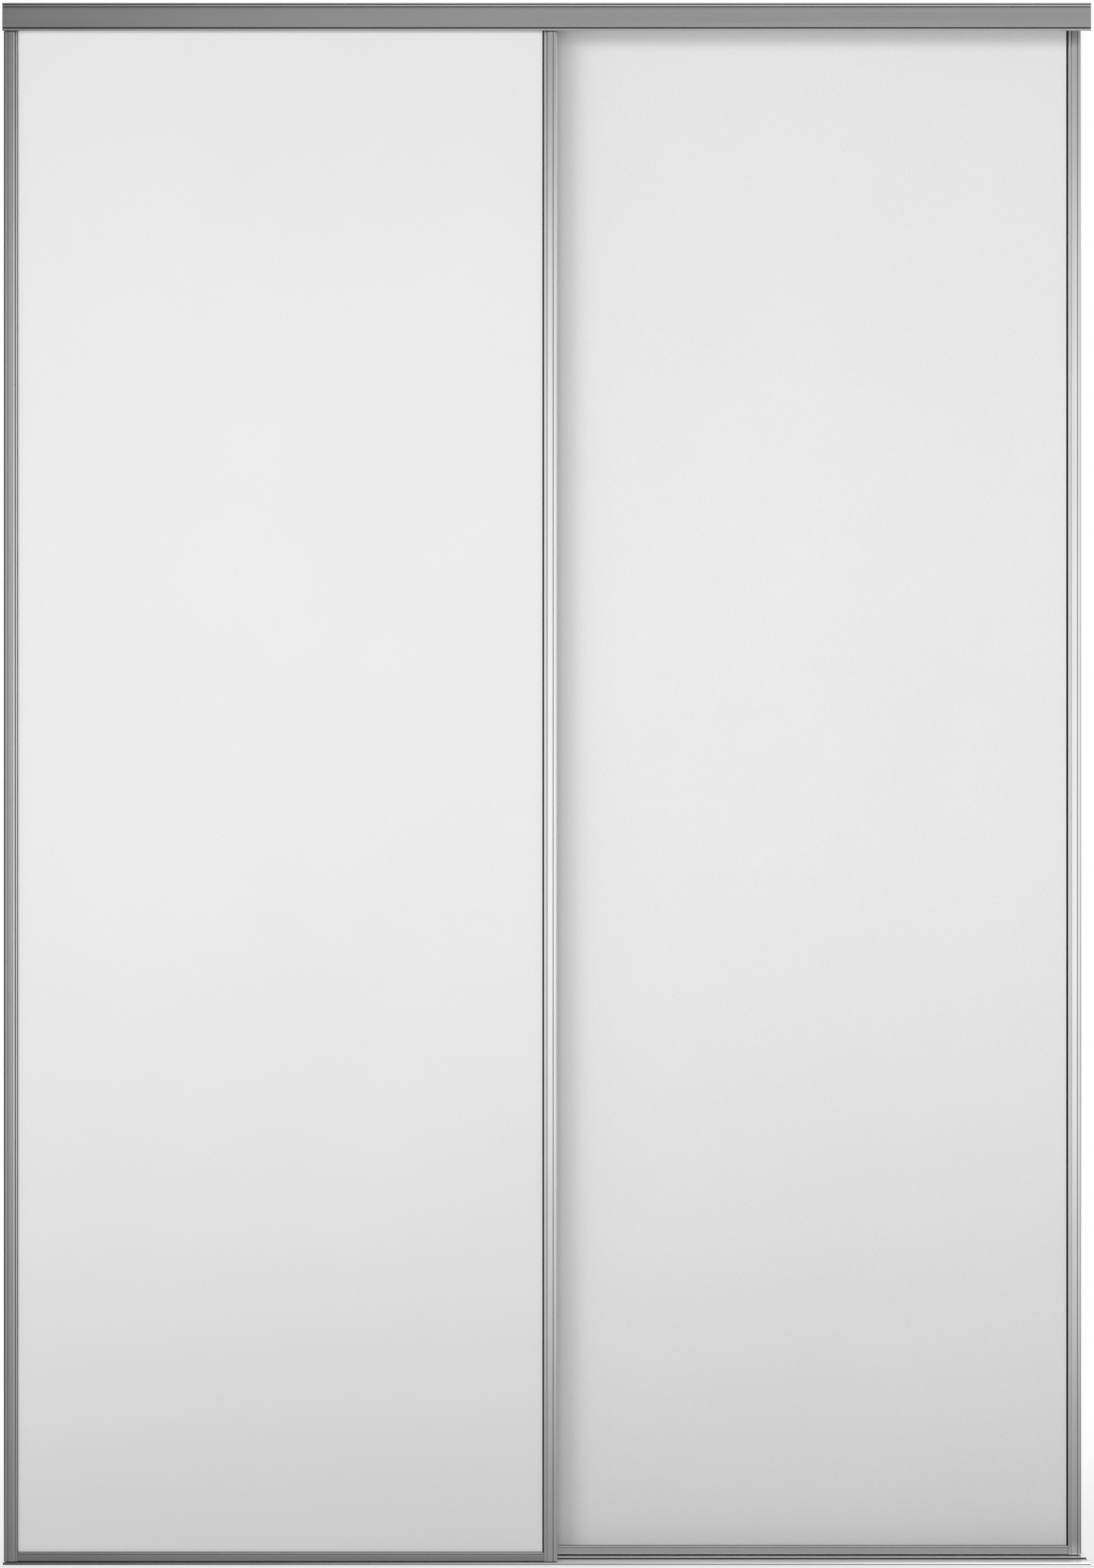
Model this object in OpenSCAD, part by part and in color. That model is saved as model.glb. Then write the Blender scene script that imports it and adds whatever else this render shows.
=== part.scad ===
// Pair of framed sliding wardrobe doors, one behind the other, between a floor track and a ceiling track.
// The doors' fronts face -Y, +X runs to the right and +Z up. The origin is on the floor, mid-opening.

/* [Opening] */
// Length of both tracks, from wall to wall
opening_w = 1742; // [1300:1:2400]
// Height from the floor to the ceiling
opening_h = 2500; // [1900:1:2800]
// Overlap of the two closed doors in the middle
door_overlap = 39; // [24:1:80]
// Gap from a door that is against its stop to the end of the tracks
shut_gap = 0.5; // [0.3:0.1:3]
// How far the closed rear door stands short of its stop
rear_ajar = 4.5; // [0:0.5:12]

/* [Door frames] */
// Width of a stile seen from the front
stile_w = 22; // [20:0.5:28]
// Depth of a door's frame, front to back
stile_d = 30; // [29:0.5:36]
// Wall thickness of the frame profiles
frame_wall = 1.5; // [1.2:0.1:1.8]
// Thickness of the lip in front of the panel
lip_t = 2.2; // [2:0.1:3]
// How deep the stiles' pockets for the panel are
stile_pocket = 11; // [9:0.5:12]
// Radius of the round bead on a stile's outer edge
stile_bead_r = 3; // [2.4:0.1:3]
// Width of the fine line between bead and face
face_line_w = 1.5; // [1:0.1:2]
// Depth of the fine line between bead and face
face_line_d = 0.9; // [0.4:0.1:1.2]
// Radius of the hollow beside a stile's inner lip
scoop_r = 2.7; // [1.4:0.1:3.2]
// Depth of the hollow beside a stile's inner lip
scoop_d = 0.6; // [0.3:0.1:0.8]
// Height of a rail's visible front
rail_face_h = 14; // [13:0.2:18]
// Height of a rail's channel behind the panel
rail_box_h = 34; // [33:0.5:44]
// How far a rail's front stands behind the stiles' fronts
rail_inset = 0.5; // [0.2:0.1:0.8]
// Height of the floor of a rail's pocket above its edge
rail_pocket_z = 8; // [6:0.5:9]
// Depth of the fine line below a rail's lip
rail_line_d = 0.6; // [0.3:0.1:0.8]
// Outside radius of a rail's screw channel
port_r = 3.6; // [3.2:0.1:4]
// Running gap between the two doors
door_gap = 7; // [5:0.5:16]
// Height of the doors' lower edges above the floor
door_lift = 5; // [4.8:0.1:7]
// Height from the doors' upper edges to the ceiling
head_gap = 12; // [11:0.5:18]

/* [Panels] */
// Thickness of a door panel
panel_t = 10; // [8:0.5:11]
// Thickness of the seal round a panel
seal_t = 1; // [0.6:0.1:1.4]
// Width of seal that shows at a panel's left edge
seal_show_left = 0.5; // [0.2:0.1:2]
// Width of seal that shows at a panel's right edge
seal_show_right = 2.1; // [0.2:0.1:2.6]
// Width of seal that shows at the rails
seal_show_rail = 0.4; // [0.2:0.1:2]
// Depth of the groove that holds the buffer
buffer_groove = 3; // [2:0.1:3.4]

/* [Ceiling track] */
// Height of the front cover
fascia_h = 44; // [38:0.5:60]
// Thickness of the front cover
fascia_t = 2.5; // [2:0.1:3.5]
// Gap between the front cover and the front door
fascia_gap = 3; // [2:0.5:12]
// Gap between the rear door and the track's back wall
back_gap = 4; // [3:0.5:8]
// Thickness of the track's back wall, web and fins
track_wall = 1.5; // [1.2:0.1:2]
// Thickness of the plate against the ceiling
plate_t = 2; // [1.5:0.1:3]
// Height of the web between the doors
web_h = 26; // [20:0.5:36]
// Height of the back wall
back_h = 30; // [20:0.5:44]
// Radius of the bead along the cover's upper edge
fascia_bead_r = 1.9; // [1.4:0.1:2.2]
// Width of the fine lines along the cover
fascia_line_w = 2.4; // [0.8:0.1:3]
// Depth of the fine lines along the cover
fascia_line_d = 1.2; // [0.4:0.1:1.3]
// Radius of a screw hole to the ceiling
ceiling_hole_r = 2.5; // [1.5:0.1:3.5]
// Distance from the track's ends to its outer ceiling holes
ceiling_hole_inset = 150; // [100:1:300]

/* [Floor track] */
// Thickness of the floor track
sill_t = 3.5; // [3:0.1:4]
// How far the floor track reaches past the doors, front and back
sill_lead = 2; // [1:0.1:6]
// Depth of the grooves that the wheels run in
groove_d = 2.2; // [1:0.1:2.4]
// Width of the grooves that the wheels run in
groove_w = 9; // [8:0.1:12]
// Length of the shallow tread in front of each groove
tread_l = 9; // [4:0.5:12]
// Depth of the shallow tread in front of each groove
tread_d = 0.6; // [0.3:0.1:1]
// Length of the sloping front and back edges
ramp_l = 2.2; // [1:0.1:4.5]
// Height at which the sloping edges start
ramp_z = 1.8; // [0.5:0.1:2]
// Radius of a screw hole to the floor
floor_hole_r = 2.25; // [1.5:0.05:3]
// Distance from the track's ends to its outer floor holes
floor_hole_inset = 100; // [60:1:250]
// Distance between the two inner floor holes
floor_hole_pitch = 560; // [300:1:700]

/* [Wheels] */
// Radius of a floor wheel
wheel_r = 12; // [11:0.1:12.5]
// Width of a floor wheel
wheel_w = 6.4; // [5:0.1:7]
// How much the middle of a wheel's tread stands out
wheel_crown = 0.8; // [0.2:0.1:1.2]
// Distance from a stile to the middle of its wheel
wheel_inset = 29; // [29:0.5:100]
// Radius of a wheel's axle
axle_r = 2; // [1.5:0.1:2.4]
// Outside radius of a wheel's bearing
bearing_r = 5.5; // [4.5:0.1:6]
// Width of a wheel's bearing
bearing_w = 4; // [3:0.1:5]
// How far a wheel's carrier reaches from its middle towards the stile
carrier_out = 27; // [20:0.5:28]
// How far a wheel's carrier reaches from its middle away from the stile
carrier_in = 26; // [25:0.5:40]
// Radius of the pin that holds a carrier
carrier_pin_r = 2; // [1.5:0.1:2.2]

/* [Guides] */
// Radius of a guide roller in the ceiling track
roller_r = 8; // [6:0.1:8.5]
// Gap between a guide roller and each fin
roller_play = 0.5; // [0.3:0.1:0.8]
// Distance from a stile to the middle of its guide roller
guide_inset = 29; // [26:0.5:60]
// Radius of a guide roller's pin
guide_pin_r = 2; // [1.5:0.1:2.5]
// Length of a guide block
guide_block_l = 40; // [34:0.5:50]
// Height of a guide block
guide_block_h = 13; // [11:0.5:20]
// Length of an end stop in the ceiling track
stop_l = 20; // [16:0.5:26]

/* [Fasteners] */
// Radius of a corner screw's shank
screw_r = 1.9; // [1.5:0.1:2.2]
// Radius of a corner screw's head
screw_head_r = 3.8; // [3:0.1:4.2]
// Length of a corner screw's shank
screw_l = 22; // [14:0.5:40]
// Radius of a height adjuster's thread
adjuster_r = 2; // [1.5:0.1:2.4]
// Radius of a height adjuster's head
adjuster_head_r = 3.4; // [2.8:0.1:4]
// Radius of a rivet that holds a guide block
rivet_r = 1.5; // [1.2:0.1:2]

/* [Hidden] */

// Clearances, and the little that a cut runs past the face it leaves by
pin_fit = 0.05;
block_fit = 0.2;
touch_gap = 0.3;
past = 1;
// A joining piece runs this far into its neighbour
bite = 0.4;

// Sizes of the doors
door_w = (opening_w - 2 * shut_gap - rear_ajar + door_overlap) / 2;
door_h = opening_h - door_lift - head_gap;
rail_l = door_w - 2 * stile_w;
pocket_w = panel_t + 2 * seal_t;
pocket_back = lip_t + pocket_w;
box_front = pocket_back + frame_wall;
box_back = stile_d - frame_wall;
run_v = (box_front + box_back) / 2;
block_w = box_back - box_front - 2 * block_fit;
pocket_floor = stile_w - stile_pocket;
panel_edge = pocket_floor + seal_t;
panel_foot = rail_pocket_z + seal_t;
port_z = rail_box_h - frame_wall - port_r + bite;
bead_rim = 0.2;
bead_step = 2 * stile_bead_r + bead_rim;
buffer_w = pocket_back - frame_wall - bead_step;

// Where the doors stand: front to back, then left to right
top_d = fascia_t + fascia_gap + 2 * stile_d + door_gap + back_gap + track_wall;
front_y = fascia_t + fascia_gap - top_d / 2;
rear_y = front_y + stile_d + door_gap;
front_x = shut_gap - opening_w / 2;
rear_x = opening_w / 2 - shut_gap - rear_ajar - door_w;
run_front_y = front_y + run_v;
run_rear_y = rear_y + run_v;
web_y = front_y + stile_d + door_gap / 2;
sill_front_y = front_y - sill_lead;
sill_back_y = rear_y + stile_d + sill_lead;
sill_hole_y = (run_front_y + run_rear_y) / 2;

// Wheels and carriers, counted from a door's own edge and lower end
groove_z = sill_t - groove_d;
wheel_x = stile_w + wheel_inset;
wheel_z = groove_z + touch_gap + wheel_r - door_lift;
carrier_x = wheel_x - carrier_out;
carrier_z = 1;
carrier_room = 1.2;
carrier_h = port_z - port_r - carrier_z - carrier_room;
slot_spare = 1.3;
slot_w = wheel_w + 1;
adjuster_up = 13;
adjuster_z = carrier_z + adjuster_up;
carrier_pin_inset = 6;
carrier_pin_x = wheel_x + carrier_in - carrier_pin_inset;
carrier_pin_z = adjuster_z;

// Pins through a rail's back wall: their heads' height, and their heads' radius over their own
back_head_t = 1;
back_head_wide = 1.8;

// Heights inside the ceiling track, counted from the doors' upper edges
ceiling_room = head_gap - plate_t;
fin_gap = 1;
fin_h = ceiling_room - fin_gap;
roller_lift = 1.5;
pin_head_t = 1.2;
pin_head_out = 1.3;
roller_h = ceiling_room - roller_lift - touch_gap - pin_head_t - fin_gap;
guide_half = roller_r + roller_play;

// Guide blocks and the end stops that their rollers meet
guide_x = stile_w + guide_inset;
guide_block_drop = 0.8;
guide_pin_cap = 4;
guide_pin_hold = guide_block_h - guide_pin_cap;
rivet_inset = 8;
rivet_x = guide_x + guide_block_l / 2 - rivet_inset;
rivet_z = guide_block_drop + guide_block_h / 2;
stop_x = opening_w / 2 - shut_gap - guide_x + roller_r + touch_gap;
stop_w = 2 * (guide_half - block_fit);
stop_play = 0.5;
stop_h = fin_h - stop_play;
stop_sink = 3;
stop_head_t = 2;
pad_t = 2;
pad_out = 1;
pad_w = stop_w / 2;
pad_rim = 1.5;
pad_h = stop_h - 2 * pad_rim;
stop_screw_x = pad_out + stop_l / 2;

$fn = 48;

// Placing helpers: a door's own frame has its left lower front corner at the origin
module on_front() translate([front_x, front_y, door_lift]) children();
module on_rear() translate([rear_x, rear_y, door_lift]) children();
module other_side() translate([door_w, 0, 0]) mirror([1, 0, 0]) children();
module other_end() translate([0, 0, door_h]) mirror([0, 0, 1]) children();
module both_sides() {
    children();
    other_side() children();
}
module both_ways() {
    children();
    mirror([1, 0, 0]) children();
}
// Turns a section drawn in depth and height into a bar along X
module along_x(len) rotate([90, 0, 90]) linear_extrude(height = len) children();
// A rod along X, or along Y from front to back
module rod_x(r, len) rotate([0, 90, 0]) cylinder(r = r, h = len);
module rod_y(r, len) rotate([-90, 0, 0]) cylinder(r = r, h = len);

// Section of a stile: outer edge at 0, front face at 0
module stile_section() {
    scoop_rim = 0.3;
    scoop_half = sqrt(scoop_d * (2 * scoop_r - scoop_d));
    scoop_x = stile_w - lip_t - scoop_half - scoop_rim;
    back_line_d = frame_wall / 3;
    difference() {
        union() {
            translate([stile_bead_r, 0]) square([stile_w - stile_bead_r - lip_t / 2, lip_t]);
            translate([stile_w - lip_t / 2, lip_t / 2]) circle(r = lip_t / 2);
            translate([stile_bead_r, stile_bead_r]) circle(r = stile_bead_r);
            translate([0, stile_bead_r]) square([buffer_groove + frame_wall, pocket_back - stile_bead_r]);
            translate([pocket_floor - frame_wall, 0]) square([frame_wall, pocket_back + frame_wall]);
            translate([0, pocket_back]) square([stile_w, stile_d - pocket_back - stile_bead_r]);
            translate([stile_bead_r, pocket_back]) square([stile_w - stile_bead_r, stile_d - pocket_back]);
            translate([stile_bead_r, stile_d - stile_bead_r]) circle(r = stile_bead_r);
        }
        // The groove for the buffer, in the outer side
        translate([-past, bead_step]) square([buffer_groove + past, buffer_w]);
        // The hollow behind the panel
        translate([frame_wall, box_front]) square([stile_w - 2 * frame_wall, box_back - box_front]);
        // The fine line and the shallow hollow along the face, and the line along the back
        translate([bead_step, -past]) square([face_line_w, face_line_d + past]);
        translate([scoop_x, scoop_d - scoop_r]) circle(r = scoop_r);
        translate([bead_step, stile_d - back_line_d]) square([face_line_w, back_line_d + past]);
    }
}

// Section of a rail in depth and height: its outer edge at 0
module rail_section() {
    lip = lip_t - rail_inset;
    line_h = 1;
    lip_rim = 0.2;
    line_z = rail_face_h - lip_t - line_h - lip_rim;
    bevel = 0.8;
    difference() {
        union() {
            translate([rail_inset, 0]) square([lip, rail_face_h - lip / 2]);
            translate([rail_inset + lip / 2, rail_face_h - lip / 2]) circle(r = lip / 2);
            translate([rail_inset, rail_pocket_z - frame_wall])
                square([box_front - rail_inset, frame_wall]);
            translate([pocket_back, 0]) square([frame_wall, rail_box_h]);
            translate([pocket_back, rail_box_h - frame_wall]) square([stile_d - pocket_back, frame_wall]);
            translate([box_back, 0]) square([frame_wall, rail_box_h]);
            translate([run_v, port_z]) circle(r = port_r);
        }
        translate([run_v, port_z]) circle(r = screw_r + pin_fit);
        translate([rail_inset - past, line_z]) square([rail_line_d + past, line_h]);
        polygon([[0, 0], [rail_inset + bevel, 0], [rail_inset, bevel], [0, bevel]]);
    }
}

// Section of the ceiling track in depth and height, the ceiling at 0
module top_track_section() {
    front = -top_d / 2;
    low_bead_r = fascia_t / 2;
    low_bead_rim = 0.4;
    low_line_z = 2 * low_bead_r + low_bead_rim - fascia_h;
    bead_drop = 1.6;
    bead_z = -fascia_bead_r - bead_drop;
    top_line_z = bead_z - fascia_bead_r - fascia_line_w;
    difference() {
        union() {
            translate([front, low_bead_r - fascia_h]) square([fascia_t, fascia_h - low_bead_r]);
            translate([front + low_bead_r, low_bead_r - fascia_h]) circle(r = low_bead_r);
            translate([front, -plate_t]) square([top_d, plate_t]);
            translate([top_d / 2 - track_wall, -back_h]) square([track_wall, back_h]);
            translate([web_y - track_wall / 2, -web_h]) square([track_wall, web_h]);
            for (run = [run_front_y, run_rear_y], side = [-1, 1])
                translate([run + side * (guide_half + track_wall / 2) - track_wall / 2, -plate_t - fin_h])
                    square([track_wall, fin_h + plate_t / 2]);
        }
        // Fine lines below and above the cover's flat face
        for (z = [low_line_z, top_line_z])
            translate([front - past, z]) square([fascia_line_d + past, fascia_line_w]);
        // The bead is left standing between two rounded-off strips
        difference() {
            translate([front - past, bead_z - fascia_bead_r])
                square([fascia_bead_r + past, 2 * fascia_bead_r]);
            translate([front + fascia_bead_r, bead_z]) circle(r = fascia_bead_r);
            translate([front + fascia_line_d, bead_z - fascia_bead_r])
                square([fascia_bead_r, 2 * fascia_bead_r]);
        }
    }
}

// Section of the floor track in depth and height, the floor at 0
module bottom_track_section() {
    line_w = 1.2;
    line_step = 0.6;
    line_d = tread_d + line_step;
    difference() {
        polygon([
            [sill_front_y, 0],
            [sill_back_y, 0],
            [sill_back_y, ramp_z],
            [sill_back_y - ramp_l, sill_t],
            [sill_front_y + ramp_l, sill_t],
            [sill_front_y, ramp_z]
        ]);
        // In front of each groove is its tread, which starts at a fine line
        for (run = [run_front_y, run_rear_y]) {
            tread_y = run - groove_w / 2 - tread_l;
            translate([run - groove_w / 2, groove_z]) square([groove_w, groove_d + past]);
            translate([tread_y, sill_t - tread_d]) square([tread_l + bite, tread_d + past]);
            translate([tread_y, sill_t - line_d]) square([line_w, line_d + past]);
        }
    }
}

module top_track() color("silver")
    difference() {
        translate([-opening_w / 2, 0, opening_h]) along_x(opening_w) top_track_section();
        for (x = [-1, 0, 1], run = [run_front_y, run_rear_y])
            translate([x * (opening_w / 2 - ceiling_hole_inset), run, opening_h - plate_t - past])
                cylinder(r = ceiling_hole_r, h = plate_t + 2 * past);
        for (run = [run_front_y, run_rear_y])
            at_stops(run) translate([stop_screw_x, 0, -past])
                cylinder(r = screw_r + pin_fit, h = plate_t + 2 * past);
    }

module bottom_track() color("silver")
    difference() {
        translate([-opening_w / 2, 0, 0]) along_x(opening_w) bottom_track_section();
        for (x = [opening_w / 2 - floor_hole_inset, floor_hole_pitch / 2])
            both_ways() translate([x, sill_hole_y, -past])
                cylinder(r = floor_hole_r, h = sill_t + 2 * past);
    }

// The two end stops of a run: a roller meets the pad at 0, and the ceiling plate's underside is at 0
module at_stops(run) both_ways() translate([stop_x, run, opening_h - plate_t]) children();

module stop_block() difference() {
    translate([pad_out, -stop_w / 2, -stop_h]) cube([stop_l, stop_w, stop_h]);
    translate([stop_screw_x, 0, -stop_h - past]) {
        cylinder(r = screw_r + pin_fit, h = stop_h + 2 * past);
        cylinder(r = screw_head_r + block_fit, h = past + stop_sink);
    }
    translate([0, -pad_w / 2, -(stop_h + pad_h) / 2]) cube([pad_t, pad_w, pad_h]);
}
module front_stops() color("dimgray") at_stops(run_front_y) stop_block();
module rear_stops() color("dimgray") at_stops(run_rear_y) stop_block();

module stop_pads() color("black")
    for (run = [run_front_y, run_rear_y])
        at_stops(run) translate([0, -pad_w / 2, -(stop_h + pad_h) / 2]) cube([pad_t, pad_w, pad_h]);

module stop_screws() color("gainsboro")
    for (run = [run_front_y, run_rear_y])
        at_stops(run) translate([stop_screw_x, 0, stop_sink - stop_h]) {
            translate([0, 0, -stop_head_t]) cylinder(r = screw_head_r, h = stop_head_t);
            cylinder(r = screw_r, h = stop_h - stop_sink + plate_t - block_fit);
        }

// Pieces of one door, drawn in the door's own frame
module panel() color("white")
    translate([panel_edge, lip_t + seal_t, panel_foot])
        cube([door_w - 2 * panel_edge, panel_t, door_h - 2 * panel_foot]);

module panel_seal() color("dimgray") {
    left = stile_w + seal_show_left;
    right = door_w - stile_w - seal_show_right;
    foot = rail_face_h + seal_show_rail;
    difference() {
        translate([pocket_floor, lip_t, rail_pocket_z])
            cube([door_w - 2 * pocket_floor, pocket_w, door_h - 2 * rail_pocket_z]);
        translate([panel_edge, lip_t + seal_t, panel_foot])
            cube([door_w - 2 * panel_edge, panel_t, door_h - 2 * panel_foot]);
        translate([left, lip_t - past, foot]) cube([right - left, pocket_w + 2 * past, door_h - 2 * foot]);
    }
}

// Holes for the corner screws and the adjuster: wide outside for the driver,
// close round the thread inside
module stile_holes() {
    tool_play = 0.6;
    tool_r = screw_head_r + tool_play;
    thread_x = stile_w - frame_wall - past;
    for (end = [0, 1])
        translate([0, run_v, end == 0 ? port_z : door_h - port_z]) {
            translate([-past, 0, 0]) rod_x(tool_r, frame_wall + 2 * past);
            translate([thread_x, 0, 0]) rod_x(screw_r + pin_fit, frame_wall + 2 * past);
        }
    translate([0, run_v, adjuster_z]) {
        translate([-past, 0, 0]) rod_x(tool_r, frame_wall + 2 * past);
        translate([thread_x, 0, 0]) rod_x(adjuster_r + pin_fit, frame_wall + 2 * past);
    }
}
module stile() color("silver")
    difference() {
        linear_extrude(height = door_h) stile_section();
        stile_holes();
    }

module buffer() color("gray") {
    round_r = 1;
    flush = 0.3;
    linear_extrude(height = door_h) {
        translate([flush + round_r, bead_step]) square([buffer_groove - flush - round_r, buffer_w]);
        translate([flush, bead_step + round_r]) square([round_r + bite, buffer_w - 2 * round_r]);
        for (v = [bead_step + round_r, bead_step + buffer_w - round_r])
            translate([flush + round_r, v]) circle(r = round_r);
    }
}

// A bare rail, and the holes in it for the pins that hold its carriers or guide blocks
module rail_bar() translate([stile_w, 0, 0]) along_x(rail_l) rail_section();
module bottom_rail() color("silver")
    difference() {
        rail_bar();
        both_sides() translate([carrier_pin_x, pocket_back - past, carrier_pin_z])
            rod_y(carrier_pin_r + pin_fit, stile_d - pocket_back + 2 * past);
    }
module top_rail() color("silver")
    other_end() difference() {
        rail_bar();
        both_sides() translate([rivet_x, pocket_back - past, rivet_z])
            rod_y(rivet_r + pin_fit, stile_d - pocket_back + 2 * past);
    }

// A headed pin from the pocket's back through the rail, with its head on the rail's back
module back_pin(r) {
    shank_v = pocket_back + touch_gap;
    translate([0, shank_v, 0]) rod_y(r, stile_d - shank_v + bite);
    translate([0, stile_d, 0]) rod_y(r * back_head_wide, back_head_t);
}
module carrier_pins() color("gainsboro")
    both_sides() translate([carrier_pin_x, 0, carrier_pin_z]) back_pin(carrier_pin_r);
module guide_rivets() color("gainsboro")
    other_end() both_sides() translate([rivet_x, 0, rivet_z]) back_pin(rivet_r);

module corner_screw() {
    head_t = 2.4;
    translate([stile_w - frame_wall - head_t, 0, 0]) difference() {
        union() {
            rod_x(screw_head_r, head_t);
            rod_x(screw_r, head_t + screw_l);
        }
        hex_socket(head_t);
    }
}
// A six-sided socket in a head of this height, for the driver
module hex_socket(head_t) {
    hex_share = 0.8;
    translate([-past, 0, 0]) rotate([0, 90, 0])
        cylinder(r = screw_r * hex_share, h = past + head_t / 2, $fn = 6);
}
module corner_screws() color("gainsboro")
    both_sides() for (z = [port_z, door_h - port_z]) translate([0, run_v, z]) corner_screw();

module adjusters() color("gainsboro") {
    head_t = 2.6;
    travel = 2.5;
    head_x = stile_w - frame_wall - head_t - travel;
    both_sides() translate([head_x, run_v, adjuster_z]) difference() {
        union() {
            rod_x(adjuster_head_r, head_t);
            rod_x(adjuster_r, carrier_x - touch_gap - head_x);
        }
        hex_socket(head_t);
    }
}

module carrier() color("dimgray") {
    slot_r = wheel_r + slot_spare;
    difference() {
        translate([carrier_x, box_front + block_fit, carrier_z])
            cube([carrier_out + carrier_in, block_w, carrier_h]);
        translate([wheel_x - slot_r, run_v - slot_w / 2, carrier_z - past])
            cube([2 * slot_r, slot_w, wheel_z + slot_r - carrier_z + past]);
        translate([wheel_x, box_front, wheel_z]) rod_y(axle_r + pin_fit, stile_d);
        translate([carrier_pin_x, box_front, carrier_pin_z]) rod_y(carrier_pin_r + pin_fit, stile_d);
    }
}

module axles() color("gainsboro")
    both_sides() translate([wheel_x, box_front + block_fit, wheel_z]) rod_y(axle_r, block_w);

// A wheel is turned from half its section: hub, thin web and crowned rim
module at_wheel() translate([wheel_x, run_v, wheel_z]) rotate([-90, 0, 0]) children();
module wheel() color("white") {
    hub_t = 1.4;
    hub_r = bearing_r + hub_t;
    rim_t = 2.4;
    rim_r = wheel_r - rim_t;
    web_t = wheel_w / 2;
    dimple_rim = 0.3;
    dimple_r = (rim_r - hub_r) / 2 - dimple_rim;
    steps = 8;
    at_wheel() difference() {
        rotate_extrude($fn = 96) polygon(concat(
            [[bearing_r + pin_fit, -wheel_w / 2], [hub_r, -wheel_w / 2], [hub_r, -web_t / 2]],
            [[rim_r, -web_t / 2], [rim_r, -wheel_w / 2]],
            [for (i = [0 : steps]) let (t = 2 * i / steps - 1)
                [wheel_r - wheel_crown * t * t, t * wheel_w / 2]],
            [[rim_r, wheel_w / 2], [rim_r, web_t / 2], [hub_r, web_t / 2]],
            [[hub_r, wheel_w / 2], [bearing_r + pin_fit, wheel_w / 2]]
        ));
        // Moulded dimples that show the wheel turning
        for (a = [0 : 60 : 300])
            rotate([0, 0, a]) translate([(hub_r + rim_r) / 2, 0, -wheel_w])
                cylinder(r = dimple_r, h = 2 * wheel_w);
    }
}
module bearing() color("gainsboro") {
    race = (bearing_r - axle_r) / 3;
    dip = 0.4;
    at_wheel() rotate_extrude($fn = 64) polygon([
        [axle_r + pin_fit, -bearing_w / 2],
        [axle_r + race, -bearing_w / 2],
        [axle_r + race, dip - bearing_w / 2],
        [bearing_r - race, dip - bearing_w / 2],
        [bearing_r - race, -bearing_w / 2],
        [bearing_r, -bearing_w / 2],
        [bearing_r, bearing_w / 2],
        [bearing_r - race, bearing_w / 2],
        [bearing_r - race, bearing_w / 2 - dip],
        [axle_r + race, bearing_w / 2 - dip],
        [axle_r + race, bearing_w / 2],
        [axle_r + pin_fit, bearing_w / 2]
    ]);
}

module guide_block() color("dimgray")
    difference() {
        translate([guide_x - guide_block_l / 2, box_front + block_fit, guide_block_drop])
            cube([guide_block_l, block_w, guide_block_h]);
        translate([guide_x, run_v, guide_block_drop - past])
            cylinder(r = guide_pin_r + pin_fit, h = guide_pin_hold + 2 * past);
        translate([rivet_x, box_front, rivet_z]) rod_y(rivet_r + pin_fit, stile_d);
    }

module guide_pins() color("gainsboro") {
    pin_top = roller_lift + roller_h + touch_gap + pin_head_t;
    other_end() both_sides() translate([guide_x, run_v, 0]) {
        translate([0, 0, touch_gap - roller_lift])
            cylinder(r = guide_pin_r + pin_head_out, h = roller_lift - touch_gap + guide_block_drop);
        translate([0, 0, -pin_top]) {
            cylinder(r = guide_pin_r, h = pin_top + guide_block_drop + guide_pin_hold);
            cylinder(r = guide_pin_r + pin_head_out, h = pin_head_t);
        }
    }
}

module roller() color("white") {
    edge = 0.8;
    translate([guide_x, run_v, -roller_lift - roller_h])
        rotate_extrude($fn = 96) polygon([
            [guide_pin_r + pin_fit, 0],
            [roller_r - edge, 0],
            [roller_r, edge],
            [roller_r, roller_h - edge],
            [roller_r - edge, roller_h],
            [guide_pin_r + pin_fit, roller_h]
        ]);
}

module front_panel() on_front() panel();
module front_panel_seal() on_front() panel_seal();
module front_stile_left() on_front() stile();
module front_stile_right() on_front() other_side() stile();
module front_buffer_left() on_front() buffer();
module front_buffer_right() on_front() other_side() buffer();
module front_top_rail() on_front() top_rail();
module front_bottom_rail() on_front() bottom_rail();
module front_corner_screws() on_front() corner_screws();
module front_adjusters() on_front() adjusters();
module front_carrier_left() on_front() carrier();
module front_carrier_right() on_front() other_side() carrier();
module front_carrier_pins() on_front() carrier_pins();
module front_axles() on_front() axles();
module front_wheel_left() on_front() wheel();
module front_wheel_right() on_front() other_side() wheel();
module front_bearing_left() on_front() bearing();
module front_bearing_right() on_front() other_side() bearing();
module front_guide_block_left() on_front() other_end() guide_block();
module front_guide_block_right() on_front() other_side() other_end() guide_block();
module front_guide_rivets() on_front() guide_rivets();
module front_guide_pins() on_front() guide_pins();
module front_roller_left() on_front() other_end() roller();
module front_roller_right() on_front() other_side() other_end() roller();

module rear_panel() on_rear() panel();
module rear_panel_seal() on_rear() panel_seal();
module rear_stile_left() on_rear() stile();
module rear_stile_right() on_rear() other_side() stile();
module rear_buffer_left() on_rear() buffer();
module rear_buffer_right() on_rear() other_side() buffer();
module rear_top_rail() on_rear() top_rail();
module rear_bottom_rail() on_rear() bottom_rail();
module rear_corner_screws() on_rear() corner_screws();
module rear_adjusters() on_rear() adjusters();
module rear_carrier_left() on_rear() carrier();
module rear_carrier_right() on_rear() other_side() carrier();
module rear_carrier_pins() on_rear() carrier_pins();
module rear_axles() on_rear() axles();
module rear_wheel_left() on_rear() wheel();
module rear_wheel_right() on_rear() other_side() wheel();
module rear_bearing_left() on_rear() bearing();
module rear_bearing_right() on_rear() other_side() bearing();
module rear_guide_block_left() on_rear() other_end() guide_block();
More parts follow.
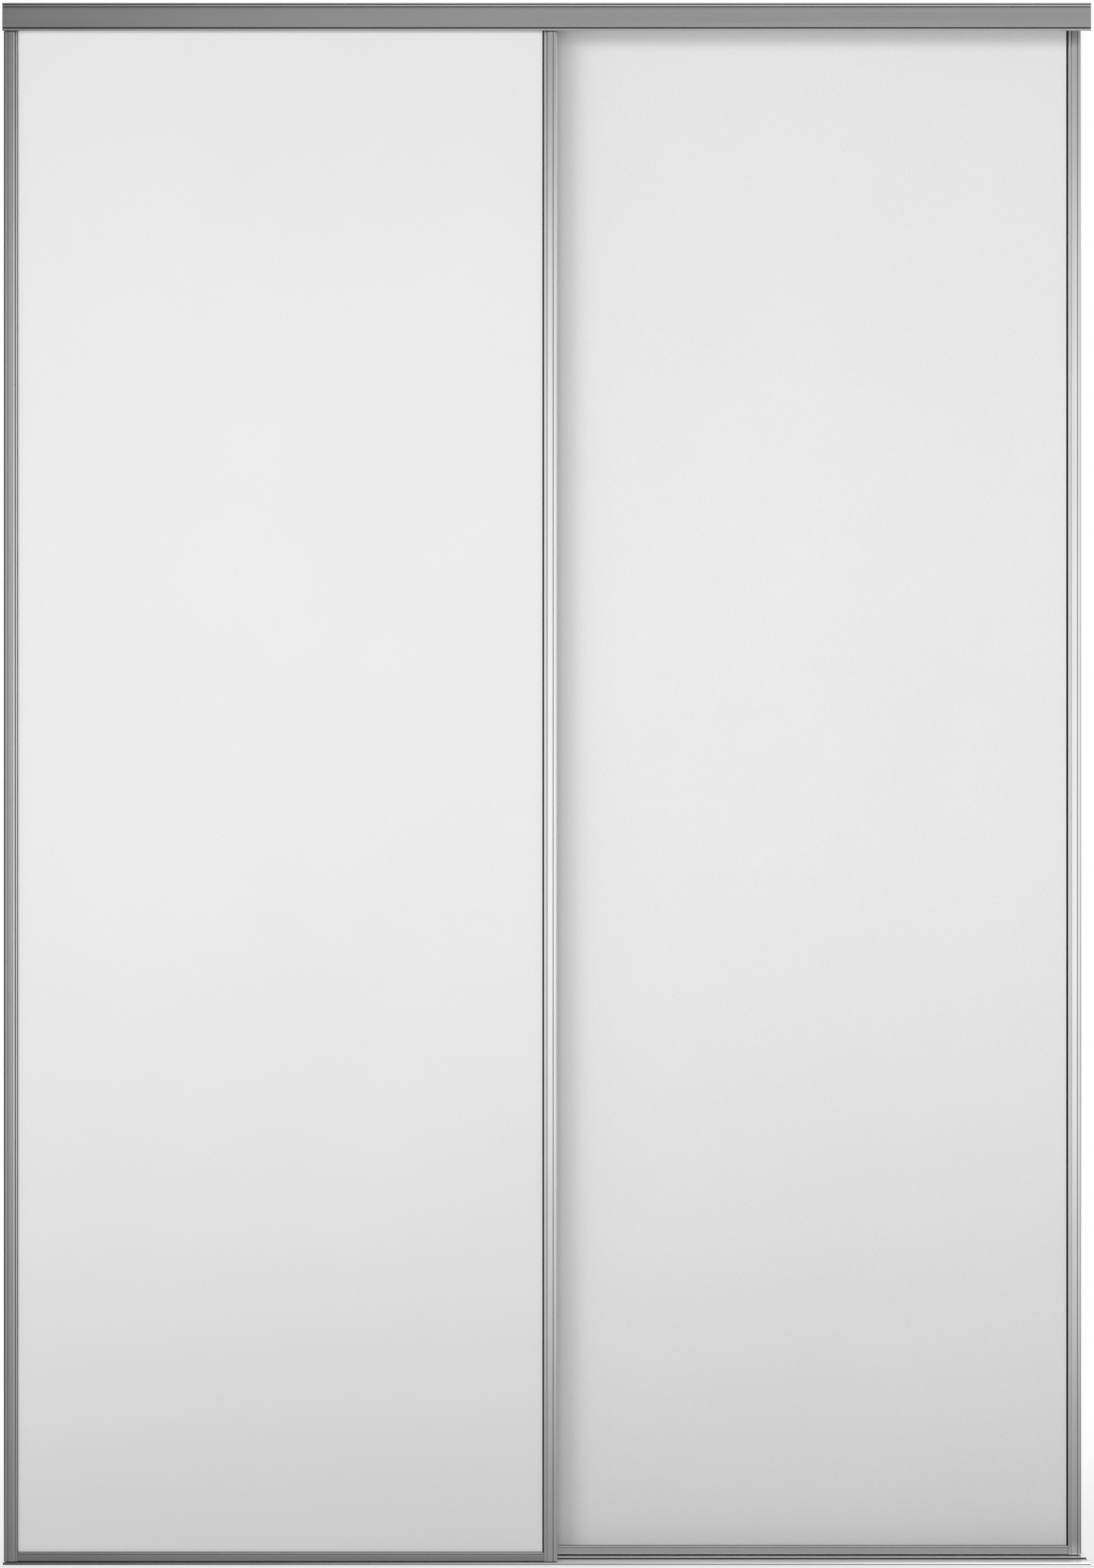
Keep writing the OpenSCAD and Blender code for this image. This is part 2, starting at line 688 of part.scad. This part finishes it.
module rear_guide_block_right() on_rear() other_side() other_end() guide_block();
module rear_guide_rivets() on_rear() guide_rivets();
module rear_guide_pins() on_rear() guide_pins();
module rear_roller_left() on_rear() other_end() roller();
module rear_roller_right() on_rear() other_side() other_end() roller();

top_track();
bottom_track();
front_stops();
rear_stops();
stop_pads();
stop_screws();
front_panel();
front_panel_seal();
front_stile_left();
front_stile_right();
front_buffer_left();
front_buffer_right();
front_top_rail();
front_bottom_rail();
front_corner_screws();
front_adjusters();
front_carrier_left();
front_carrier_right();
front_carrier_pins();
front_axles();
front_wheel_left();
front_wheel_right();
front_bearing_left();
front_bearing_right();
front_guide_block_left();
front_guide_block_right();
front_guide_rivets();
front_guide_pins();
front_roller_left();
front_roller_right();
rear_panel();
rear_panel_seal();
rear_stile_left();
rear_stile_right();
rear_buffer_left();
rear_buffer_right();
rear_top_rail();
rear_bottom_rail();
rear_corner_screws();
rear_adjusters();
rear_carrier_left();
rear_carrier_right();
rear_carrier_pins();
rear_axles();
rear_wheel_left();
rear_wheel_right();
rear_bearing_left();
rear_bearing_right();
rear_guide_block_left();
rear_guide_block_right();
rear_guide_rivets();
rear_guide_pins();
rear_roller_left();
rear_roller_right();
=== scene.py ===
import math
import bpy
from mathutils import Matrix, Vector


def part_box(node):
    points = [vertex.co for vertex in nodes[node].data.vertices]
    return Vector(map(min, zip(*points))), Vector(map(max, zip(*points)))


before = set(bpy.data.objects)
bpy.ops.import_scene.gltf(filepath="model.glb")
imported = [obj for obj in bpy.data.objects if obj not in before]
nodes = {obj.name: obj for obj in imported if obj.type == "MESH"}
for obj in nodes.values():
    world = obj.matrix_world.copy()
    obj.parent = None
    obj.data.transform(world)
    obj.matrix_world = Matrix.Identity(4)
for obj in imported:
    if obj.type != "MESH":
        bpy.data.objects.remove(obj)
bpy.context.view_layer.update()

scene = bpy.context.scene
print("doors loaded:", len(nodes), "pieces")


# Camera: level, a little below the doors' middle, with the view shifted up
camera = {"place": (0.0, -3.64, 1.1), "lens": 51.68, "sensor": 36, "shiftRight": 0.0002, "shiftUp": 0.06,
          "seesTo": 60}

cameraData = bpy.data.cameras.new("camera")
cameraData.lens = camera["lens"]
cameraData.sensor_width = camera["sensor"]
cameraData.shift_x, cameraData.shift_y = camera["shiftRight"], camera["shiftUp"]
cameraData.clip_end = camera["seesTo"]
cameraObject = bpy.data.objects.new("camera", cameraData)
cameraObject.location = camera["place"]
cameraObject.rotation_euler = (math.radians(90), 0, 0)
scene.collection.objects.link(cameraObject)
scene.camera = cameraObject
print("camera set")


# Small helpers for node materials
def addNode(tree, kind, **settings):
    made = tree.nodes.new("ShaderNode" + kind)
    for key, value in settings.items():
        setattr(made, key, value)
    return made


def feed(tree, target, value):
    # Another node's output is linked to the target, a plain value is set on it
    if isinstance(value, bpy.types.NodeSocket):
        tree.links.new(value, target)
    elif value is not None:
        target.default_value = value


def calc(tree, operation, first, second=None, clamp=False):
    made = addNode(tree, "Math", operation=operation, use_clamp=clamp)
    feed(tree, made.inputs[0], first)
    feed(tree, made.inputs[1], second)
    return made.outputs[0]


def times(tree, result, *others):
    for other in others:
        result = calc(tree, "MULTIPLY", result, other)
    return result


def fitRange(tree, value, fromLow, fromHigh, toLow, toHigh, kind="LINEAR"):
    made = addNode(tree, "MapRange", clamp=True, interpolation_type=kind)
    for socket, given in zip(made.inputs, (value, fromLow, fromHigh, toLow, toHigh)):
        feed(tree, socket, given)
    return made.outputs[0]


def fitNoise(tree, noise, toLow, toHigh):
    # Most of a noise lies between 0.3 and 0.7
    return fitRange(tree, noise, 0.3, 0.7, toLow, toHigh)


def around(tree, noise, spread):
    # A factor that wanders about 1 with the noise
    return fitNoise(tree, noise, 1 - spread, 1 + spread)


def grey(level, warmth=0.0):
    return (level * (1 + warmth), level, level * (1 - warmth), 1)


def toneColour(tree, colour, tone):
    made = addNode(tree, "VectorMath", operation="SCALE")
    made.inputs[0].default_value = colour[:3]
    tree.links.new(tone, made.inputs["Scale"])
    return made.outputs[0]


def blendColour(tree, share, first, second):
    made = addNode(tree, "Mix", data_type="RGBA")
    feed(tree, made.inputs["Factor"], share)
    feed(tree, made.inputs[6], first)
    feed(tree, made.inputs[7], second)
    return made.outputs[2]


def splitAxes(tree, vector):
    made = addNode(tree, "SeparateXYZ")
    tree.links.new(vector, made.inputs[0])
    return made.outputs


def noiseOn(tree, coords, perMetre, detail=2.0, roughness=0.5, place=(0, 0, 0)):
    # The pattern repeats so many times per metre along X, Y and Z. Another place gives another pattern
    mapping = addNode(tree, "Mapping")
    tree.links.new(coords, mapping.inputs["Vector"])
    mapping.inputs["Scale"].default_value = perMetre if isinstance(perMetre, tuple) else (perMetre,) * 3
    mapping.inputs["Location"].default_value = place
    noise = addNode(tree, "TexNoise")
    tree.links.new(mapping.outputs[0], noise.inputs["Vector"])
    noise.inputs["Scale"].default_value = 1
    noise.inputs["Detail"].default_value = detail
    noise.inputs["Roughness"].default_value = roughness
    return noise.outputs["Fac"]


def edgeShare(tree, radius, gain):
    # 0 on flat ground, rising to 1 on sharp edges, and the normal that rounds them
    bevel = addNode(tree, "Bevel", samples=4)
    bevel.inputs["Radius"].default_value = radius
    geometry = addNode(tree, "NewGeometry")
    dot = addNode(tree, "VectorMath", operation="DOT_PRODUCT")
    tree.links.new(bevel.outputs[0], dot.inputs[0])
    tree.links.new(geometry.outputs["Normal"], dot.inputs[1])
    bent = calc(tree, "SUBTRACT", 1.0, dot.outputs["Value"])
    return calc(tree, "MULTIPLY", bent, gain, clamp=True), bevel.outputs[0]


def creviceShare(tree, reach, openFrom, fullAt):
    # 0 in the open, rising to 1 in a fine line or deep in a corner. This occlusion share paints shade into
    # the metals' colour
    occlusion = addNode(tree, "AmbientOcclusion", samples=4, only_local=True)
    occlusion.inputs["Distance"].default_value = reach
    return fitRange(tree, occlusion.outputs["AO"], openFrom, fullAt, 0.0, 1.0)


def bumpFrom(tree, height, depth, strength, under=None):
    bump = addNode(tree, "Bump")
    bump.inputs["Strength"].default_value = strength
    bump.inputs["Distance"].default_value = depth
    tree.links.new(height, bump.inputs["Height"])
    if under is not None:
        tree.links.new(under, bump.inputs["Normal"])
    return bump.outputs[0]


def startMaterial(name):
    material = bpy.data.materials.new(name)
    material.use_nodes = True
    tree = material.node_tree
    shader = tree.nodes["Principled BSDF"]
    coords = addNode(tree, "TexCoord").outputs["Object"]
    return material, tree, shader, coords


# Extruded aluminium, anodised: fine die lines along its length, sawn ends, polished edges and painted shade
# in grooves and corners
def extrudedMetal(name, look, along):
    material, tree, shader, coords = startMaterial(name)
    axis = "XYZ".index(along)

    def drawnNoise(acrossAndAlong, **settings):
        across, lengthwise = acrossAndAlong
        perMetre = tuple(lengthwise if number == axis else across for number in range(3))
        return noiseOn(tree, coords, perMetre, **settings)

    lines = drawnNoise(look["linesPerMetre"], detail=3, roughness=0.6)
    broadLines = drawnNoise(look["broadLinesPerMetre"], detail=2)
    clouds = drawnNoise(look["cloudsPerMetre"], detail=3)
    edges, rounded = edgeShare(tree, look["edgeRadius"], look["edgeGain"])
    crevice = creviceShare(tree, look["grooveReach"], look["grooveOpen"], look["grooveFull"])

    # Sawn ends face along the profile: short marks across the cut, rougher and brighter
    facing = splitAxes(tree, addNode(tree, "NewGeometry").outputs["Normal"])[axis]
    sawn = fitRange(tree, calc(tree, "ABSOLUTE", facing), look["sawnFrom"], look["sawnFull"], 0.0, 1.0)
    sawMarks = noiseOn(tree, coords, look["sawMarksPerMetre"][along], detail=2)

    tone = times(tree, around(tree, lines, look["lineTone"]), around(tree, clouds, look["cloudTone"]))
    plain = toneColour(tree, grey(look["grey"], look["warmth"]), tone)
    worn = blendColour(tree, times(tree, edges, look["edgeWear"]), plain, grey(look["edgeGrey"]))
    cut = blendColour(tree, times(tree, sawn, look["sawnShare"]), worn, grey(look["sawnGrey"]))
    darkColour = grey(look["darkGrey"], look["darkWarmth"])
    # Painted shade: grooves and corners darken towards the dark grey by the occlusion share
    shadedColour = blendColour(tree, times(tree, crevice, look["grooveShade"]), cut, darkColour)
    if "runDepth" in look:
        # The wheels' runs lie below the lands, and are darker the deeper they are. The slope in front of
        # them gets a painted shadow of the front door, darkest at the left
        spot = splitAxes(tree, coords)
        deep = fitRange(tree, spot["Z"], look["landHeight"], look["landHeight"] - look["runDepth"], 0.0, 1.0)
        behind = fitRange(tree, spot["Y"], look["slopeEnd"], look["slopeEnd"] + look["slopeBlend"], 0.0, 1.0)
        runDark = times(tree, deep, behind, look["runDarkening"])
        # Painted shadow of the front door on the slope, fading out from left to right
        slopeShadow = times(tree, calc(tree, "SUBTRACT", 1.0, behind),
                        fitRange(tree, spot["X"], *look["slopeShadeSpan"], look["slopeShade"], 0.0))
        darkened = calc(tree, "MAXIMUM", runDark, slopeShadow)
        patchy = times(tree, darkened, fitNoise(tree, clouds, look["patchesLow"], 1.0))
        shadedColour = blendColour(tree, patchy, shadedColour, darkColour)
    tree.links.new(shadedColour, shader.inputs["Base Color"])
    shader.inputs["Metallic"].default_value = look["metallic"]

    roughness = calc(tree, "ADD", fitNoise(tree, broadLines, look["roughLow"], look["roughHigh"]),
                     times(tree, sawn, look["sawnRough"]))
    roughness = calc(tree, "SUBTRACT", roughness, times(tree, edges, look["edgePolish"]))
    roughness = calc(tree, "ADD", roughness, times(tree, crevice, look["grooveRough"]), clamp=True)
    tree.links.new(roughness, shader.inputs["Roughness"])
    height = calc(tree, "ADD", times(tree, lines, look["lineHeight"]),
                  times(tree, broadLines, look["broadLineHeight"]))
    height = calc(tree, "ADD", height, times(tree, sawn, sawMarks, look["sawMarkHeight"]))
    bump = bumpFrom(tree, height, look["lineDepth"], look["lineStrength"], rounded)
    tree.links.new(bump, shader.inputs["Normal"])
    return material


# Numbers of lines and clouds are per metre, first across the profile and then along it
frameLook = {
    "grey": 0.68, "warmth": 0.0, "metallic": 1.0, "roughLow": 0.30, "roughHigh": 0.38,
    "linesPerMetre": (1500, 1.5), "lineTone": 0.025, "lineHeight": 0.6,
    "broadLinesPerMetre": (260, 0.6), "broadLineHeight": 0.4,
    "cloudsPerMetre": (14, 5), "cloudTone": 0.02,
    "lineDepth": 0.00003, "lineStrength": 0.6,
    "edgeRadius": 0.0004, "edgeGain": 5, "edgeWear": 0.35, "edgeGrey": 0.86, "edgePolish": 0.08,
    "sawnFrom": 0.9, "sawnFull": 0.98, "sawnShare": 0.6, "sawnGrey": 0.8, "sawnRough": 0.12,
    "sawMarksPerMetre": {"X": (900, 700, 2600), "Z": (900, 2600, 900)}, "sawMarkHeight": 3.0,
    # The groove share below paints shade into grooves and corners, mixing in the dark grey
    "grooveReach": 0.0022, "grooveOpen": 0.88, "grooveFull": 0.6, "grooveShade": 0.7, "grooveRough": 0.25,
    "darkGrey": 0.05, "darkWarmth": 0.04,
}
railLook = dict(frameLook, grey=0.55)
trackLook = dict(frameLook, grey=0.54, roughLow=0.33, roughHigh=0.42, grooveOpen=0.92, grooveFull=0.74,
                 grooveShade=0.97)
sillLow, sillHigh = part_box("bottom_track")
# The floor track's grey is its anodised aluminium, set brighter than the frame's to paint in the light on its
# lands
sillLook = dict(frameLook, grey=0.84, roughLow=0.26, roughHigh=0.4, lineTone=0.05, cloudTone=0.05,
                edgeWear=0.6, grooveShade=0.9, landHeight=sillHigh[2] - 0.0001, runDepth=0.0012, runDarkening=0.8,
                slopeEnd=sillLow[1] + 0.0024, slopeBlend=0.0005, slopeShade=0.75, slopeShadeSpan=(-0.7, 0.7),
                patchesLow=0.8)

uprightMetal = extrudedMetal("upright frame metal", frameLook, "Z")
railMetal = extrudedMetal("rail metal", railLook, "X")
trackMetal = extrudedMetal("ceiling track metal", trackLook, "X")
sillMetal = extrudedMetal("floor track metal", sillLook, "X")
print("metals made")


# White board: satin laminate with a fine pearl, a little dust low down, hair scratches
boardLook = {
    "grey": 0.665, "warmth": 0.0, "shine": 0.5, "roughLow": 0.34, "roughHigh": 0.46,
    "pearlsPerMetre": 700, "pearlDepth": 0.00004, "pearlStrength": 0.5,
    "mottlesPerMetre": 330, "mottleTone": 0.022,
    "cloudsPerMetre": (3.1, 3.1, 2.3), "cloudTone": 0.01,
    "wipesPerMetre": (9, 9, 26),
    "hairsPerMetre": (38, 38, 900), "hairFrom": 0.70, "hairFull": 0.74, "hairRough": 0.05,
    "dustTo": 0.25, "dust": 0.1, "dustGrey": 0.5, "dustWarmth": 0.03,
}


def boardFinish(look):
    material, tree, shader, coords = startMaterial("white board")
    pearl = noiseOn(tree, coords, look["pearlsPerMetre"], detail=2, roughness=0.55)
    mottle = noiseOn(tree, coords, look["mottlesPerMetre"], detail=2, place=(5, 2, 1))
    clouds = noiseOn(tree, coords, look["cloudsPerMetre"], detail=4)
    wiped = noiseOn(tree, coords, look["wipesPerMetre"], detail=5, roughness=0.62)
    hair = noiseOn(tree, coords, look["hairsPerMetre"], detail=1, place=(3, 1, 7))
    low = fitRange(tree, splitAxes(tree, coords)["Z"], 0.0, look["dustTo"], 1.0, 0.0)
    dust = times(tree, low, wiped, look["dust"])
    tone = times(tree, around(tree, clouds, look["cloudTone"]), around(tree, mottle, look["mottleTone"]))
    plain = toneColour(tree, grey(look["grey"], look["warmth"]), tone)
    tree.links.new(blendColour(tree, dust, plain, grey(look["dustGrey"], look["dustWarmth"])),
                   shader.inputs["Base Color"])
    scratch = fitRange(tree, hair, look["hairFrom"], look["hairFull"], 0.0, look["hairRough"])
    roughness = calc(tree, "ADD", fitNoise(tree, wiped, look["roughLow"], look["roughHigh"]), scratch)
    tree.links.new(calc(tree, "ADD", roughness, dust, clamp=True), shader.inputs["Roughness"])
    tree.links.new(bumpFrom(tree, pearl, look["pearlDepth"], look["pearlStrength"]), shader.inputs["Normal"])
    shader.inputs["Specular IOR Level"].default_value = look["shine"]
    return material


# Rubber and plastic pieces: fine moulded grain, paler rubbed edges
def mouldedFinish(name, look):
    material, tree, shader, coords = startMaterial(name)
    grain = noiseOn(tree, coords, look["grainPerMetre"], detail=3, roughness=0.6)
    blotch = noiseOn(tree, coords, look["blotchesPerMetre"], detail=3)
    edges, rounded = edgeShare(tree, look["edgeRadius"], look["edgeGain"])
    tone = times(tree, around(tree, grain, look["grainTone"]), around(tree, blotch, look["blotchTone"]))
    plain = toneColour(tree, grey(look["grey"], look["warmth"]), tone)
    rubbed = min(look["grey"] * look["rubbedGain"] + look["rubbedLift"], look["rubbedMost"])
    tree.links.new(blendColour(tree, times(tree, edges, look["edgeWear"]), plain, grey(rubbed)),
                   shader.inputs["Base Color"])
    tree.links.new(fitNoise(tree, blotch, look["roughLow"], look["roughHigh"]), shader.inputs["Roughness"])
    bump = bumpFrom(tree, grain, look["grainDepth"], look["grainStrength"], rounded)
    tree.links.new(bump, shader.inputs["Normal"])
    shader.inputs["Specular IOR Level"].default_value = look["shine"]
    return material


mouldedLook = {
    "warmth": 0.0, "shine": 0.5, "grainTone": 0.07, "grainStrength": 0.6,
    "blotchesPerMetre": 40, "blotchTone": 0.06,
    "edgeGain": 4, "rubbedGain": 1.6, "rubbedLift": 0.03, "rubbedMost": 0.9,
}
sealLook = dict(mouldedLook, grey=0.012, grainPerMetre=1800, grainDepth=0.00005, edgeRadius=0.0002,
                edgeWear=0.05, roughLow=0.75, roughHigh=0.9, shine=0.15)
bufferLook = dict(mouldedLook, grey=0.22, grainPerMetre=2600, grainDepth=0.0003, edgeRadius=0.0004,
                  edgeWear=0.2, roughLow=0.85, roughHigh=0.95)
padLook = dict(mouldedLook, grey=0.03, grainPerMetre=1600, grainDepth=0.00006, edgeRadius=0.0003,
               edgeWear=0.3, roughLow=0.6, roughHigh=0.75)
carrierLook = dict(mouldedLook, grey=0.10, grainPerMetre=1400, grainDepth=0.00005, edgeRadius=0.0004,
                   edgeWear=0.35, roughLow=0.42, roughHigh=0.56)
wheelLook = dict(mouldedLook, grey=0.66, warmth=0.02, grainPerMetre=1200, grainDepth=0.00003,
                 edgeRadius=0.0003, edgeWear=0.2, roughLow=0.32, roughHigh=0.5)


# Plated steel: faint mottling and a fine grain
steelLook = {
    "grey": 0.62, "tint": (0.99, 1.0, 1.02), "toneLow": 0.92, "toneHigh": 1.06,
    "roughLow": 0.22, "roughHigh": 0.38, "mottlesPerMetre": 300,
    "grainPerMetre": 2500, "grainDepth": 0.00002, "grainStrength": 0.5,
    "edgeRadius": 0.00025, "edgeGain": 4, "edgeWear": 0.5, "edgeGrey": 0.8,
}


def steelFinish(look):
    material, tree, shader, coords = startMaterial("plated steel")
    mottle = noiseOn(tree, coords, look["mottlesPerMetre"], detail=4)
    grain = noiseOn(tree, coords, look["grainPerMetre"], detail=2)
    edges, rounded = edgeShare(tree, look["edgeRadius"], look["edgeGain"])
    tinted = tuple(look["grey"] * share for share in look["tint"])
    plain = toneColour(tree, tinted, fitNoise(tree, mottle, look["toneLow"], look["toneHigh"]))
    tree.links.new(blendColour(tree, times(tree, edges, look["edgeWear"]), plain, grey(look["edgeGrey"])),
                   shader.inputs["Base Color"])
    shader.inputs["Metallic"].default_value = 1
    tree.links.new(fitNoise(tree, mottle, look["roughLow"], look["roughHigh"]), shader.inputs["Roughness"])
    bump = bumpFrom(tree, grain, look["grainDepth"], look["grainStrength"], rounded)
    tree.links.new(bump, shader.inputs["Normal"])
    return material


finishes = {
    "track_metal": trackMetal,
    "sill_metal": sillMetal,
    "frame_metal": uprightMetal,
    "board": boardFinish(boardLook),
    "seal": mouldedFinish("dark seal", sealLook),
    "buffer": mouldedFinish("buffer strip", bufferLook),
    "pad": mouldedFinish("rubber pad", padLook),
    "carrier": mouldedFinish("carrier plastic", carrierLook),
    "wheel": mouldedFinish("wheel plastic", wheelLook),
    "steel": steelFinish(steelLook),
}

for name, piece in nodes.items():
    for slot in piece.material_slots:
        finish = finishes[slot.material.name.split(".")[0]]
        if finish is uprightMetal and name.endswith("_rail"):
            finish = railMetal
        slot.material = finish
print("finishes given to", len(nodes), "pieces")


# Helpers for the floor and the room
def choose(tree, factor, first, second):
    mixed = addNode(tree, "MixShader")
    tree.links.new(factor, mixed.inputs[0])
    tree.links.new(first, mixed.inputs[1])
    tree.links.new(second, mixed.inputs[2])
    return mixed.outputs[0]


def plainLight(tree, kind, strength):
    light = addNode(tree, kind)
    light.inputs["Color"].default_value = grey(1.0)
    feed(tree, light.inputs["Strength"], strength)
    return light.outputs[0]


def chooseByRay(tree, thrown, mirrored, seen):
    # What lights matt surfaces, what the metal mirrors and what the camera sees
    path = addNode(tree, "LightPath")
    straight = calc(tree, "MAXIMUM", path.outputs["Is Camera Ray"], path.outputs["Is Transmission Ray"])
    unseen = choose(tree, path.outputs["Is Glossy Ray"], thrown, mirrored)
    return choose(tree, straight, unseen, seen)


# Floor: pale grey with the doors' shadow, fading to the backdrop's white. It throws light up from a few
# metres away, and the metal mirrors it darker near by and at the left. Spans are in metres
floorLook = {
    "size": 60.0, "grey": 0.85, "rough": 0.8, "specksPerMetre": 60, "speckTone": 0.015, "halfWidth": 0.9,
    "paleNear": 0.72, "paleFar": 1.0, "paleSpan": (0.0, 1.0),
    "glowNear": 0.85, "glowFar": 2.5, "glowSpan": (0.8, 2.8), "glowEnd": 0.15, "glowEndSpan": (5.0, 6.5),
    "glowLeft": 1.35, "glowRight": 0.65, "glowSideSpan": (-3.0, 3.0),
    "mirrorNear": 0.25, "mirrorFar": 1.0, "mirrorSpan": (0.0, 4.0), "mirrorEnd": 0.2,
    "mirrorEndSpan": (4.2, 6.0), "mirrorLeft": 0.1, "mirrorRight": 1.0, "mirrorSideSpan": (-1.8, -0.6),
}

bpy.ops.mesh.primitive_plane_add(size=floorLook["size"], location=(0, 0, 0))
floor = bpy.context.object
floor.name = "floor"
floorMaterial, tree, shader, coords = startMaterial("plain floor")
floorMaterial.cycles.emission_sampling = "NONE"
floorSpeck = noiseOn(tree, coords, floorLook["specksPerMetre"], detail=4)
floorTone = toneColour(tree, grey(floorLook["grey"]), around(tree, floorSpeck, floorLook["speckTone"]))
tree.links.new(floorTone, shader.inputs["Base Color"])
shader.inputs["Roughness"].default_value = floorLook["rough"]

# Distance from a line as wide as the doors
spot = splitAxes(tree, coords)
beside = calc(tree, "SUBTRACT", calc(tree, "ABSOLUTE", spot["X"]), floorLook["halfWidth"])
beside = calc(tree, "MAXIMUM", beside, 0.0)
away = calc(tree, "SQRT", calc(tree, "ADD", times(tree, beside, beside), times(tree, spot["Y"], spot["Y"])))

thrown = times(tree, fitRange(tree, away, *floorLook["glowSpan"], floorLook["glowNear"],
                              floorLook["glowFar"]),
               fitRange(tree, away, *floorLook["glowEndSpan"], 1.0, floorLook["glowEnd"]),
               fitRange(tree, spot["X"], *floorLook["glowSideSpan"], floorLook["glowLeft"],
                        floorLook["glowRight"]))
mirrored = times(tree, fitRange(tree, away, *floorLook["mirrorSpan"], floorLook["mirrorNear"],
                                floorLook["mirrorFar"]),
                 fitRange(tree, away, *floorLook["mirrorEndSpan"], 1.0, floorLook["mirrorEnd"]),
                 fitRange(tree, spot["X"], *floorLook["mirrorSideSpan"], floorLook["mirrorLeft"],
                          floorLook["mirrorRight"]))
paleShare = fitRange(tree, away, *floorLook["paleSpan"], floorLook["paleNear"], floorLook["paleFar"],
                     "SMOOTHSTEP")
pale = choose(tree, paleShare, shader.outputs[0], plainLight(tree, "Emission", 1.0))
surface = chooseByRay(tree, plainLight(tree, "Emission", thrown),
                      plainLight(tree, "Emission", mirrored), pale)
tree.links.new(surface, tree.nodes["Material Output"].inputs["Surface"])
floor.data.materials.append(floorMaterial)


# Light: a wide soft box in front, a low soft light from the left, and a plain room. The room's spans are
# shares of a direction, from -1 to 1
softBox = {"place": (0.74, -4.5, 1.86), "size": (4.76, 3.6), "power": 72}
sideLight = {"turn": -42, "rise": 4, "softness": 28, "strength": 1.2}
roomLook = {
    "inFront": 0.13, "behind": 0.8, "behindSpan": (-0.1, 0.3),
    "mirrorDark": 0.12, "mirrorBright": 1.0, "brightSide": 30, "brightSpan": (-0.05, 0.35),
    "mirrorCeiling": 1.6, "ceilingSpan": (0.6, 0.9),
    "ceilingLeft": 0.1, "ceilingRight": 1.0, "ceilingSideSpan": (-0.2, 0.15),
}

lamp = bpy.data.lights.new("soft box", "AREA")
lamp.shape = "RECTANGLE"
lamp.size, lamp.size_y = softBox["size"]
lamp.energy = softBox["power"]
lampObject = bpy.data.objects.new("soft box", lamp)
lampObject.location = softBox["place"]
lampObject.rotation_euler = (math.radians(90), 0, 0)
scene.collection.objects.link(lampObject)

side = bpy.data.lights.new("side light", "SUN")
side.angle = math.radians(sideLight["softness"])
side.energy = sideLight["strength"]
sideObject = bpy.data.objects.new("side light", side)
sideObject.rotation_euler = (math.radians(90 - sideLight["rise"]), 0, math.radians(sideLight["turn"]))
sideObject.visible_glossy = False
scene.collection.objects.link(sideObject)

world = bpy.data.worlds.new("room")
world.use_nodes = True
scene.world = world
tree = world.node_tree
tree.nodes.clear()
output = addNode(tree, "OutputWorld")
towards = splitAxes(tree, addNode(tree, "TexCoord").outputs["Generated"])

ambient = fitRange(tree, towards["Y"], *roomLook["behindSpan"], roomLook["inFront"], roomLook["behind"])
turned = math.radians(roomLook["brightSide"])
across = calc(tree, "ADD", times(tree, towards["X"], math.cos(turned)),
              times(tree, towards["Y"], math.sin(turned)))
walls = fitRange(tree, across, *roomLook["brightSpan"], roomLook["mirrorDark"], roomLook["mirrorBright"])
overhead = times(tree, fitRange(tree, towards["Z"], *roomLook["ceilingSpan"], 0.0, roomLook["mirrorCeiling"]),
                 fitRange(tree, towards["X"], *roomLook["ceilingSideSpan"], roomLook["ceilingLeft"],
                          roomLook["ceilingRight"]))
mirrored = calc(tree, "MAXIMUM", walls, overhead)
surface = chooseByRay(tree, plainLight(tree, "Background", ambient),
                      plainLight(tree, "Background", mirrored), plainLight(tree, "Background", 1.0))
tree.links.new(surface, output.inputs["Surface"])

scene.view_settings.view_transform = "Standard"
print("floor and light made")
